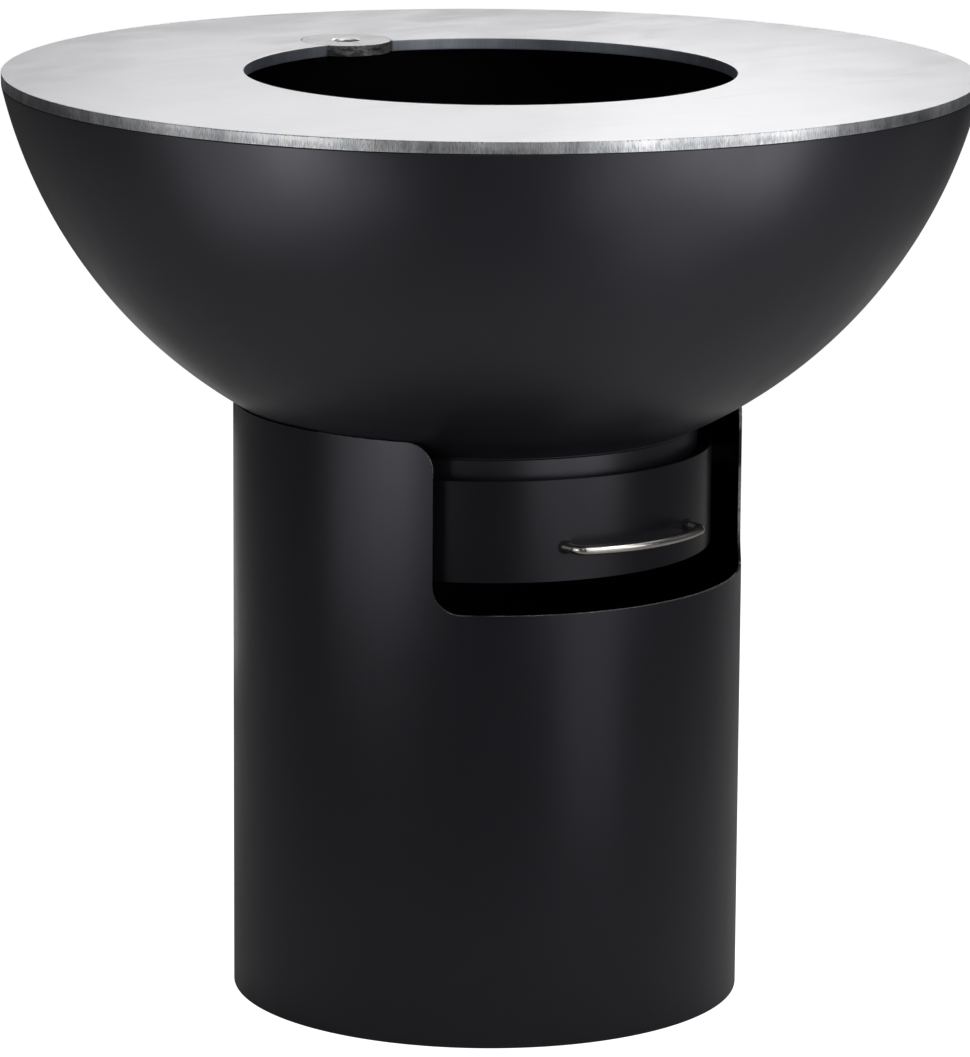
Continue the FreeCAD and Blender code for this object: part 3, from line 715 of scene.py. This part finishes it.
# ------------------------------------------------------------- pedestal shell
def pedestal():
    """Rolled sheet with an open-topped notch: columns round the shell, rows up it."""
    ro, ri = PED_R, PED_R - PED_T
    th = rad(NOTCH_DEG)
    z_knee = NOTCH_Z + NOTCH_R

    def point(r, ang):          # ang from -Y, positive towards +X
        return (r * math.sin(ang), -r * math.cos(ang))

    cols = []                   # (outer xy, inner xy, top of the lower rows, top)
    low_n, up_n = 26, 10
    # from the middle of the notch, one half; the other is its mirror
    for k in range(25):
        a = th * k / 24
        cols.append((point(ro, a), point(ri, a), NOTCH_Z, None))
    for k in range(1, 15):
        t = NOTCH_R * math.sin(rad(90) * k / 14)
        z = z_knee - math.sqrt(max(0.0, NOTCH_R ** 2 - t * t))
        cols.append((point(ro, th + math.asin(t / ro)), point(ri, th + math.asin(t / ri)), z, None))
    cols[-1] = (*cols[-1][:2], z_knee, PED_TOP - LIP_R)
    for k in range(1, 15):
        t = NOTCH_R + LIP_R * (1 - math.cos(rad(90) * k / 14))
        z = PED_TOP - LIP_R + math.sqrt(max(0.0, LIP_R ** 2 - (NOTCH_R + LIP_R - t) ** 2))
        cols.append((point(ro, th + math.asin(t / ro)), point(ri, th + math.asin(t / ri)), z_knee, z))
    ao = th + math.asin((NOTCH_R + LIP_R) / ro)
    ai = th + math.asin((NOTCH_R + LIP_R) / ri)
    m = 66
    for k in range(1, m + 1):
        w = k / m
        cols.append((point(ro, ao + (math.pi - ao) * w), point(ri, ai + (math.pi - ai) * w),
                     z_knee, PED_TOP))
    left = [((-o[0], o[1]), (-i[0], i[1]), zl, zt) for o, i, zl, zt in cols[1:-1]]
    ring = cols + left[::-1]
    outer, inner, index = [], [], []
    for o, i, zl, zt in ring:
        ids = []
        for r in range(low_n + 1):
            ids.append(len(outer))
            z = zl * r / low_n
            outer.append((*o, z))
            inner.append((*i, z))
        if zt is not None:
            for r in range(1, up_n + 1):
                ids.append(len(outer))
                z = zl + (zt - zl) * r / up_n
                outer.append((*o, z))
                inner.append((*i, z))
        index.append(ids)
    faces = []
    n = len(index)
    for c in range(n):
        a, b = index[c], index[(c + 1) % n]
        for r in range(min(len(a), len(b)) - 1):
            faces.append((a[r], b[r], b[r + 1], a[r + 1]))
    v, f = thick(outer, inner, faces)
    ob = piece("pedestal_wall", v, f, coat, "pedestal", "black_coat", ("pedestal_shell",),
               edge=0.0009, edge_seg=4)

    def on_cut(c, n):           # the rounded cut edge round the notch and along the top
        r = math.hypot(c.x, c.y)
        radial = abs(n.x * c.x + n.y * c.y) / r
        return c.z > 0.4 and radial < 0.93
    second_finish(ob, lip_coat, on_cut)


pedestal()


# --------------------------------------------------------------- drawer front
def drawer_face():
    ro, ri = FRONT_R, FRONT_R - FRONT_T
    half = rad(FRONT_DEG)
    cr = 0.006
    outer, inner, index = [], [], []
    stations = []
    for k in range(13):
        stations.append(-half * ro + cr * (1 - math.cos(rad(90) * k / 12)))
    flat = half * ro - cr
    for k in range(1, 72):
        stations.append(-flat + 2 * flat * k / 72)
    stations += [-s for s in stations[12::-1]]
    for s in stations:
        d = half * ro - abs(s)
        dz = cr - math.sqrt(max(0.0, cr * cr - (cr - d) ** 2)) if d < cr else 0.0
        a = s / ro
        ids = []
        for r in range(17):
            z = FRONT_Z0 + dz + (FRONT_Z1 - FRONT_Z0 - 2 * dz) * r / 16
            ids.append(len(outer))
            outer.append((ro * math.sin(a), -ro * math.cos(a), z))
            inner.append((ri * math.sin(a), -ri * math.cos(a), z))
        index.append(ids)
    faces = []
    for a, b in zip(index, index[1:]):
        for r in range(16):
            faces.append((a[r], b[r], b[r + 1], a[r + 1]))
    v, f = thick(outer, inner, faces)
    # the drawer front gets the darker copy of the coat: painted shade
    piece("drawer_face", v, f, drawer_coat_painted_darker, "drawer", "black_coat", ("drawer_front",),
          edge=0.0006, edge_seg=3)


drawer_face()


# --------------------------------------------------------------------- handle
def handle():
    a = HANDLE_A
    y_foot = -math.sqrt(FRONT_R ** 2 - a * a)
    y_end = y_foot - HANDLE_OUT
    rb = (a * a + HANDLE_BOW ** 2) / (2 * HANDLE_BOW)
    yc = y_end - HANDLE_BOW + rb
    rf = HANDLE_BEND
    yf = yc - math.sqrt((rb - rf) ** 2 - (a - rf) ** 2)
    cf = np.array([-a + rf, yf])
    cb = np.array([0.0, yc])
    tan_bow = cb + (cf - cb) * (rb / (rb - rf))
    path = [np.array([-a, y]) for y in np.linspace(y_foot + 0.0016, yf, 12)[:-1]]
    v0 = np.array([-1.0, 0.0])
    v1 = (tan_bow - cf) / rf
    ang = math.acos(float(v0 @ v1))
    for k in range(17):
        w = k / 16
        path.append(cf + rf * (math.sin((1 - w) * ang) * v0 + math.sin(w * ang) * v1) / math.sin(ang))
    b0 = math.atan2(tan_bow[0], -(tan_bow[1] - yc))
    for k in range(1, 24):
        b = b0 * (1 - k / 24)
        path.append(np.array([rb * math.sin(b), yc - rb * math.cos(b)]))
    path.append(np.array([0.0, yc - rb]))
    path += [np.array([-q[0], q[1]]) for q in path[-2::-1]]
    n = 40
    verts, faces = [], []
    m = len(path)
    for i, q in enumerate(path):
        d = path[min(i + 1, m - 1)] - path[max(i - 1, 0)]
        d /= np.linalg.norm(d)
        side = np.array([d[1], -d[0]])
        for k in range(n):
            t = 2 * math.pi * k / n
            x = q + side * HANDLE_BAR * math.cos(t)
            verts.append((x[0], x[1], HANDLE_Z + HANDLE_BAR * math.sin(t)))
    # the feet follow the curve of the drawer front
    for row in (0, m - 1):
        for k in range(n):
            x, y, z = verts[row * n + k]
            verts[row * n + k] = (x, -math.sqrt((FRONT_R + 0.00003) ** 2 - x * x), z)
    for i in range(m - 1):
        for k in range(n):
            k2 = (k + 1) % n
            faces.append((i * n + k, i * n + k2, (i + 1) * n + k2, (i + 1) * n + k))
    faces.append(tuple(range(n)))
    faces.append(tuple((m - 1) * n + k for k in range(n)))
    piece("handle_bar", verts, faces, bar_steel, "drawer", "stainless_bar",
          ("drawer_handle",), edge=0.0003, edge_deg=50, edge_seg=2)


handle()


def foot_washers():
    """Thin black washers between the bar's ends and the curved front; their black is partly painted shade, the
    contact shadow at each foot.
    """
    parts = []
    n, m = 64, 0
    prof = [(0.00508, 0.0), (0.0070, 0.0), (0.0072, 0.0004), (0.0070, 0.0011), (0.0064, 0.00135),
            (0.0054, 0.00135), (0.00508, 0.0011)]
    for side in (1, -1):
        verts, faces = [], []
        m = len(prof)
        for k in range(n):
            t = 2 * math.pi * k / n
            for r, h in prof:
                x = side * HANDLE_A + r * math.cos(t)
                z = HANDLE_Z + r * math.sin(t)
                verts.append((x, -math.sqrt((FRONT_R + 0.00002 + h) ** 2 - x * x), z))
        for k in range(n):
            k2 = (k + 1) % n
            for j in range(m):
                j2 = (j + 1) % m
                faces.append((k * m + j, k2 * m + j, k2 * m + j2, k * m + j2))
        parts.append((verts, faces))
    # the washers' black ring is partly painted contact shade at the feet
    piece("handle_foot_washers", *gathered(parts), washer_black_painted_shade, "drawer", "black_coat")


foot_washers()


# ---------------------------------------------------------------------- welds
def circle_run(radius, z, deg0, deg1, step=0.0007, centre=(0.0, 0.0)):
    """Points of an arc with the outward direction at each, step metres apart."""
    length = radius * rad(deg1 - deg0)
    n = max(3, round(length / step))
    whole = abs(deg1 - deg0) >= 360
    pts, out = [], []
    for i in range(n if whole else n + 1):
        a = rad(deg0) + rad(deg1 - deg0) * i / n
        pts.append((centre[0] + radius * math.cos(a), centre[1] + radius * math.sin(a), z))
        out.append((math.cos(a), math.sin(a), 0.0))
    return pts, out


def same(v, n):
    return [v] * n


def line_run(p0, p1, step=0.0007):
    p0, p1 = Vector(p0), Vector(p1)
    n = max(3, round((p1 - p0).length / step))
    return [tuple(p0.lerp(p1, i / n)) for i in range(n + 1)]


DOWN, UP = (0.0, 0.0, -1.0), (0.0, 0.0, 1.0)


def collar_weld():
    """Run all round the joint of the collar and the bowl."""
    al = math.asin(COLLAR_R / BOWL_R)
    pts, out = circle_run(COLLAR_R, sphere_z(BOWL_R, COLLAR_R), 0, 360, 0.0009)
    along = [(x * math.cos(al), y * math.cos(al), math.sin(al)) for x, y, _ in out]
    v, f = bead(pts, same(DOWN, len(pts)), along, 0.0019, closed=True, pitch=0.0028, seed=0.4)
    piece("collar_weld", v, f, coat, "pedestal", "black_coat")


def base_ring_welds():
    """Stitches between the foot ring and the shell."""
    runs = []
    for k in range(8):
        pts, out = circle_run(PED_R - PED_T, 0.006, 45 * k - 4.5, 45 * k + 4.5, 0.0009)
        runs.append(bead(pts, same(UP, len(pts)), [(-x, -y, 0.0) for x, y, _ in out],
                         0.004, seed=k + 0.3))
    piece("base_ring_welds", *gathered(runs), coat, "pedestal", "black_coat")


def tab_welds():
    """A run under each bowl fixing tab, where it meets the shell."""
    al = rad(27.0)
    na, ma = (math.sin(al), -math.cos(al)), (math.cos(al), math.sin(al))
    wall = PED_R - PED_T - 0.00002
    runs = []
    for ang in (90.0, 195.0, 345.0):
        for depth, over in ((BOWL_R + 0.001 + 0.005, False),):
            pts, down, inn = [], [], []
            n = 52
            for i in range(n + 1):
                w = -0.0195 + 0.039 * i / n
                x = math.sqrt(wall * wall - w * w)
                sl = (x - depth * na[0]) / ma[0]
                z = BOWL_CZ + depth * na[1] + sl * ma[1]
                pts.append((x, w, z))
                down.append(DOWN)
                inn.append((-ma[0], 0.0, -ma[1]))
            v, f = bead(pts, down, inn, 0.0042, seed=ang)
            runs.append((turned(v, ang), f))
    piece("tab_welds", *gathered(runs), coat, "pedestal", "black_coat")


def bracket_welds():
    """Upright runs on both sides of each rail bracket's leg."""
    wall = PED_R - PED_T - 0.00002
    runs = []
    for ang in (-8.0, 29.0, 180.0 + 8.0, 180.0 - 29.0):
        for side in (1, -1):
            w = 0.015 * side
            x = math.sqrt(wall * wall - w * w)
            pts = line_run((x, w, 0.5065), (x, w, 0.5440))
            tang = Vector((-w, x, 0.0)).normalized() * side
            v, f = bead(pts, same(tuple(tang), len(pts)), same((-1.0, 0.0, 0.0), len(pts)),
                        0.0027, seed=ang + side)
            runs.append((turned(v, ang), f))
    piece("bracket_welds", *gathered(runs), coat, "pedestal", "black_coat")


def lug_welds():
    runs = []
    for ang in (0.0, 90.0, 180.0, 270.0):
        pts = line_run((0.482, -0.018, PLATE_TOP - PLATE_T), (0.482, 0.018, PLATE_TOP - PLATE_T))
        v, f = bead(pts, same((-1.0, 0.0, 0.0), len(pts)), same(DOWN, len(pts)), 0.004,
                    pitch=0.003, seed=ang)
        runs.append((turned(v, ang), f))
    piece("plate_welds", *gathered(runs), weld_steel, "plate", "plate_steel")
    # the ledge that carries the insert
    runs = []
    a0 = math.degrees(INSERT_ANG)
    for k in (-62, 0, 62):
        pts, out = circle_run(0.062, PLATE_TOP - PLATE_T, a0 + k - 12, a0 + k + 12, 0.0007, INSERT_C)
        runs.append(bead(pts, out, same(DOWN, len(pts)), 0.0034, pitch=0.003, seed=k))
    # the ledge welds under the plate are near-black: soot, and painted shade under the plate
    piece("ledge_welds", *gathered(runs), soot_and_painted_shade, "plate", "plate_steel")


def tray_welds():
    """Runs between the tray and the back of the drawer front."""
    r = FRONT_R - FRONT_T - 0.00002
    runs = []
    half = math.degrees(math.asin(0.172 / r))
    pts, out = circle_run(r, 0.486, -90 - half, -90 + half)
    runs.append(bead(pts, same(UP, len(pts)), [(-x, -y, 0.0) for x, y, _ in out], 0.0028, seed=3.1))
    for side in (1, -1):
        x = 0.180
        y = -math.sqrt(r * r - x * x)
        pts = line_run((side * x, y, 0.4905), (side * x, y, 0.5285))
        t = Vector((-y, x, 0.0)).normalized()
        runs.append(bead(pts, same((side * t.x, t.y, 0.0), len(pts)),
                         same((0.0, 1.0, 0.0), len(pts)), 0.0032, seed=side + 5.0))
    piece("tray_welds", *gathered(runs), coat, "drawer", "black_coat")


def shell_seam():
    """The rolled sheet's lengthwise weld at the back, ground low."""
    rows = 640
    prof = [(-0.0042, 0.0), (-0.0034, 0.00012), (-0.0020, 0.00030), (-0.0007, 0.00038),
            (0.0007, 0.00038), (0.0020, 0.00030), (0.0034, 0.00012), (0.0042, 0.0)]
    m = len(prof) + 2
    verts, faces = [], []
    for i in range(rows + 1):
        z = 0.0012 + (PED_TOP - 0.0024) * i / rows
        wob = 0.00035 * ripple(z * 0.6, 2.2)
        lift = 1.0 + 0.22 * ripple(z * 2.0, 0.9) + 0.16 * math.sin(z * 2 * math.pi / 0.0034)
        for t, h in prof:
            a = math.pi / 2 + (t + wob) / PED_R
            r = PED_R - 0.00004 + h * lift
            verts.append((r * math.cos(a), r * math.sin(a), z))
        for t in (0.0042, -0.0042):
            a = math.pi / 2 + (t + wob) / PED_R
            verts.append(((PED_R - 0.0008) * math.cos(a), (PED_R - 0.0008) * math.sin(a), z))
    for i in range(rows):
        for j in range(m):
            j2 = (j + 1) % m
            faces.append((i * m + j, i * m + j2, (i + 1) * m + j2, (i + 1) * m + j))
    faces.append(tuple(range(m)))
    faces.append(tuple(rows * m + j for j in range(m)))
    piece("shell_seam", verts, faces, coat, "pedestal", "black_coat")


collar_weld()
base_ring_welds()
tab_welds()
bracket_welds()
lug_welds()
tray_welds()
shell_seam()


# ------------------------------------------------- studs, washers and nuts
def bowl_fixings():
    al = rad(27.0)
    axis = (math.sin(al), 0.0, -math.cos(al))

    def foot(depth):
        return (axis[0] * depth, 0.0, BOWL_CZ + axis[2] * depth)

    pitch, major = 0.0015, 0.00498

    def thread(z):
        def r(a):
            f = (z / pitch - a / (2 * math.pi)) % 1.0
            return major - 0.00082 * abs(2 * f - 1)
        return r

    def flat(r):
        return lambda a: r

    rows = [(0.0, flat(0.0055)), (0.0005, flat(0.0056)), (0.0009, flat(0.0052)),
            (0.0012, flat(0.00480)), (0.0018, flat(0.00470))]
    z = 0.0022
    while z < 0.0229:
        rows.append((z, thread(z)))
        z += pitch / 8
    rows += [(0.0232, flat(0.0042)), (0.0238, flat(0.0038)), (0.0240, flat(0.0036))]
    stud_v, stud_f = polar_solid(rows, 32)

    def hexa(cut):
        def r(a):
            m = (a % (math.pi / 3)) - math.pi / 6
            return min(0.0085 / math.cos(m), cut)
        return r

    rows = [(0.0004, flat(0.00505)), (0.0, flat(0.0056))]
    for k in range(7):
        d = 0.0011 * k / 6
        rows.append((d, hexa(0.00805 + d * 1.732)))
    rows.append((0.004, hexa(1.0)))
    for k in range(6, -1, -1):
        d = 0.0011 * k / 6
        rows.append((0.008 - d, hexa(0.00805 + d * 1.732)))
    rows += [(0.008, flat(0.0056)), (0.0076, flat(0.00505)), (0.004, flat(0.00505))]
    nut_v, nut_f = polar_tube(rows, 72)

    out = rounded([(0.0053, 0.0), (0.0105, 0.0), (0.0105, 0.002), (0.0053, 0.002)],
                  [0.0002, 0.0006, 0.0004, 0.0003])
    wash_v, wash_f = revolved(out, 64)
    sets = {"fixing_studs": (stud_v, stud_f, foot(BOWL_R + 0.00004), "bowl_weld_studs"),
            "fixing_washers": (wash_v, wash_f, foot(BOWL_R + 0.006), "bowl_stud_washers"),
            "fixing_nuts": (nut_v, nut_f, foot(BOWL_R + 0.008), "bowl_stud_nuts")}
    for name, (v, f, at_, stands) in sets.items():
        v = placed(v, at_, axis)
        piece(name, *gathered([(turned(v, a), f) for a in (90.0, 195.0, 345.0)]),
              zinc, "pedestal", "zinc_steel", (stands,))


bowl_fixings()

# ------------------------------------------------- finishes of the other parts
finish_of = {
    "pedestal_base_ring": coat, "bowl_fixing_tabs": coat, "ash_tray": coat,
    "drawer_rail_right": coat, "drawer_rail_left": coat,
    "rail_brackets_front": coat, "rail_brackets_rear": coat,
    "bowl_weld_studs": zinc, "bowl_stud_washers": zinc, "bowl_stud_nuts": zinc,
    "rail_screws": zinc, "handle_washers": zinc, "handle_screws": zinc,
    # the insert's ledge under the plate is near-black: soot, and painted shade under the plate
    "insert_ledge": soot_and_painted_shade, "plate_locating_lugs": scale_steel, "ash_grate": grate_mat,
}
for name, m in finish_of.items():
    ob = nodes[name]
    if not ob.data.materials:
        ob.data.materials.append(m)
    for i in range(len(ob.data.materials)):
        ob.data.materials[i] = m

# their sharp edges are broken like those of the new pieces
for name, width in (("pedestal_base_ring", 0.0006), ("bowl_fixing_tabs", 0.0005), ("ash_tray", 0.0003),
                    ("drawer_rail_right", 0.0003), ("drawer_rail_left", 0.0003),
                    ("rail_brackets_front", 0.0005), ("rail_brackets_rear", 0.0005),
                    ("rail_screws", 0.0002), ("handle_washers", 0.0002), ("handle_screws", 0.0002),
                    ("insert_ledge", 0.0004), ("plate_locating_lugs", 0.0006), ("ash_grate", 0.0004)):
    mod = nodes[name].modifiers.new("broken_edges", "BEVEL")
    mod.width = width
    mod.segments = 2
    mod.limit_method = "ANGLE"
    mod.angle_limit = rad(40)
    mod.use_clamp_overlap = True
    mod.harden_normals = True

# ---------------------------------------------------------------------- stage
AZ = rad(40.7)                      # the camera's side of the object
FWD = Vector((math.sin(AZ), math.cos(AZ), 0))
RIGHT = Vector((math.cos(AZ), -math.sin(AZ), 0))


def at(right, back, up):
    return RIGHT * right + FWD * back + Vector((0, 0, up))


def floor():
    rings = [0.0, 0.2, 0.27, 0.32, 0.4, 0.5, 0.65, 0.85, 1.1, 1.5, 2.2, 3.5, 6, 10, 20, 45]
    n = 96
    verts = [(0, 0, 0)]
    faces = []
    for r in rings[1:]:
        verts += [(r * math.cos(2 * math.pi * k / n), r * math.sin(2 * math.pi * k / n), 0)
                  for k in range(n)]
    for k in range(n):
        faces.append((0, 1 + k, 1 + (k + 1) % n))
    for i in range(len(rings) - 2):
        a, b = 1 + i * n, 1 + (i + 1) * n
        for k in range(n):
            k2 = (k + 1) % n
            faces.append((a + k, b + k, b + k2, a + k2))
    me = bpy.data.meshes.new("floor")
    me.from_pydata(verts, [], faces)
    ob = bpy.data.objects.new("floor", me)
    scene.collection.objects.link(ob)
    ob.location.z = -0.0004
    m, t, b = tree("pale_floor")
    p = add(t, "ShaderNodeTexCoord").outputs["Object"]
    s = add(t, "ShaderNodeSeparateXYZ", {0: p})
    r = math_node(t, "SQRT", math_node(
        t, "ADD", math_node(t, "MULTIPLY", s.outputs[0], s.outputs[0]),
        math_node(t, "MULTIPLY", s.outputs[1], s.outputs[1])))
    b.inputs["Base Color"].default_value = (0.62, 0.62, 0.62, 1)
    b.inputs["Roughness"].default_value = 0.9
    b.inputs["Specular IOR Level"].default_value = 0.0
    b.inputs["Emission Color"].default_value = (1, 1, 1, 1)
    # the white of the studio floor is for the camera; the object gets only the
    # light that the floor reflects
    seen = add(t, "ShaderNodeLightPath").outputs["Is Camera Ray"]
    t.links.new(math_node(t, "MULTIPLY", seen, span(t, r, 0.2612, 0.2638, 0.0, 1.0)),
                b.inputs["Emission Strength"])
    me.materials.append(m)


floor()


def softbox(name, place, target, size, strength, colour=(1, 1, 1)):
    """strength is the panel's own brightness."""
    data = bpy.data.lights.new(name, "AREA")
    data.shape = "RECTANGLE"
    data.size, data.size_y = size
    data.energy = strength * math.pi * size[0] * size[1]
    data.color = colour
    ob = bpy.data.objects.new(name, data)
    scene.collection.objects.link(ob)
    ob.location = place
    ob.rotation_euler = (Vector(target) - Vector(place)).to_track_quat("-Z", "Y").to_euler()
    ob.visible_camera = False
    return ob


def polar(az_deg, dist, up):
    """az from the camera's side of the object, positive to the camera's right."""
    a = rad(az_deg)
    return at(math.sin(a) * dist, -math.cos(a) * dist, up)


# large boxes left and right of the camera, behind and overhead
softbox("left_low", polar(-46, 0.94, 0.53), (0, 0, 0.75), (0.56, 0.44), 0.749)
softbox("left_mid", polar(-35, 0.95, 0.75), (0, 0, 0.75), (0.184, 0.44), 2.276)
softbox("left_far", polar(-40.5, 1.2, 0.64), (0, 0, 0.75), (0.465, 0.66), 0.621)
softbox("right_near", polar(46, 0.94, 0.75), (0, 0, 0.75), (0.552, 0.44), 1.74)
softbox("right_tall", polar(40.5, 0.95, 0.67), (0, 0, 0.8), (0.368, 1.16), 0.536)
softbox("back_high", polar(180, 2.15, 2.0), (0, 0, 0.85), (1.74, 0.70), 2.22)
softbox("back_wide", polar(180, 2.6, 1.3), (0, 0, 0.9), (2.0, 1.0), 0.119)
softbox("left_wide", polar(-90, 2.6, 1.3), (0, 0, 0.9), (2.0, 1.0), 0.10)
softbox("right_wide", polar(90, 2.6, 1.3), (0, 0, 0.9), (2.0, 1.0), 0.10)
softbox("overhead", (0, 0, 2.7), (0, 0.001, 0), (2.4, 2.4), 0.80)
for k, (az, size, strength) in enumerate((
        (-120, (0.9, 0.6), 0.4), (-80, (0.9, 0.6), 0.5), (-40, (0.9, 0.6), 0.8),
        (40, (1.5, 1.0), 2.0), (80, (1.4, 1.0), 0.92), (120, (0.9, 0.6), 0.4))):
    softbox("high_%d" % k, polar(az, 1.8, 2.4), (0, 0, 0.9), size, strength)

# slim panels standing round the object: side, distance, height, size, brightness
panels = [
    (-57, 1.0, 0.50, (0.20, 0.27), 0.090),
    (-57, 1.0, 0.95, (0.20, 0.57), 0.850),
    (-24, 1.0, 0.50, (0.20, 0.27), 0.940),
    (0, 1.0, 1.10, (0.20, 0.87), 0.619),
    (24, 1.0, 0.65, (0.20, 0.57), 1.036),
    (24, 1.0, 1.10, (0.20, 0.27), 1.800),
    (57, 1.0, 0.50, (0.20, 0.27), 1.184),
    (57, 1.0, 1.40, (0.20, 0.27), 4.500),
    (-105, 1.3, 0.50, (0.66, 0.90), 0.029),
    (-133, 1.3, 0.50, (0.66, 0.90), 0.043),
    (-154, 1.3, 0.20, (0.34, 0.30), 0.300),
    (-150, 1.3, 0.20, (0.72, 0.30), 0.112),
    (105, 1.3, 0.80, (0.66, 0.90), 0.061),
    (133, 1.3, 0.20, (0.66, 0.30), 0.043),
    (150, 1.3, 0.50, (0.60, 0.60), 0.210),
    (180, 1.3, 1.45, (0.98, 0.30), 0.600),
    (161, 1.3, 1.45, (0.66, 0.30), 0.724),
]
for k, (az, dist, up, size, strength) in enumerate(panels):
    target = (0, 0, 0.78 if dist < 1.2 else 0.7)
    softbox("panel_%02d" % k, polar(az, dist, up), target, size, strength)

world = bpy.data.worlds.new("studio")
scene.world = world
world.use_nodes = True
world.node_tree.nodes["Background"].inputs[0].default_value = (1, 1, 1, 1)
world.node_tree.nodes["Background"].inputs[1].default_value = 0.015

# --------------------------------------------------------------------- camera
cam_data = bpy.data.cameras.new("camera")
cam = bpy.data.objects.new("camera", cam_data)
scene.collection.objects.link(cam)
cam_data.sensor_width = 36.0
cam_data.lens = 209.42
cam_data.clip_start = 0.05
cam_data.clip_end = 200.0
cam.location = FWD * -6.25 + Vector((0, 0, 1.81436))
pitch, yaw, roll = 0.20995, 0.00042, 0.0068
level = FWD * math.cos(yaw) - RIGHT * math.sin(yaw)
look = level * math.cos(pitch) + Vector((0, 0, -math.sin(pitch)))
cam.rotation_mode = "QUATERNION"
cam.rotation_quaternion = look.to_track_quat("-Z", "Y") @ Matrix.Rotation(roll, 3, "Z").to_quaternion()
scene.camera = cam

scene.view_settings.view_transform = "Standard"
scene.view_settings.look = "None"
scene.view_settings.exposure = 0.0
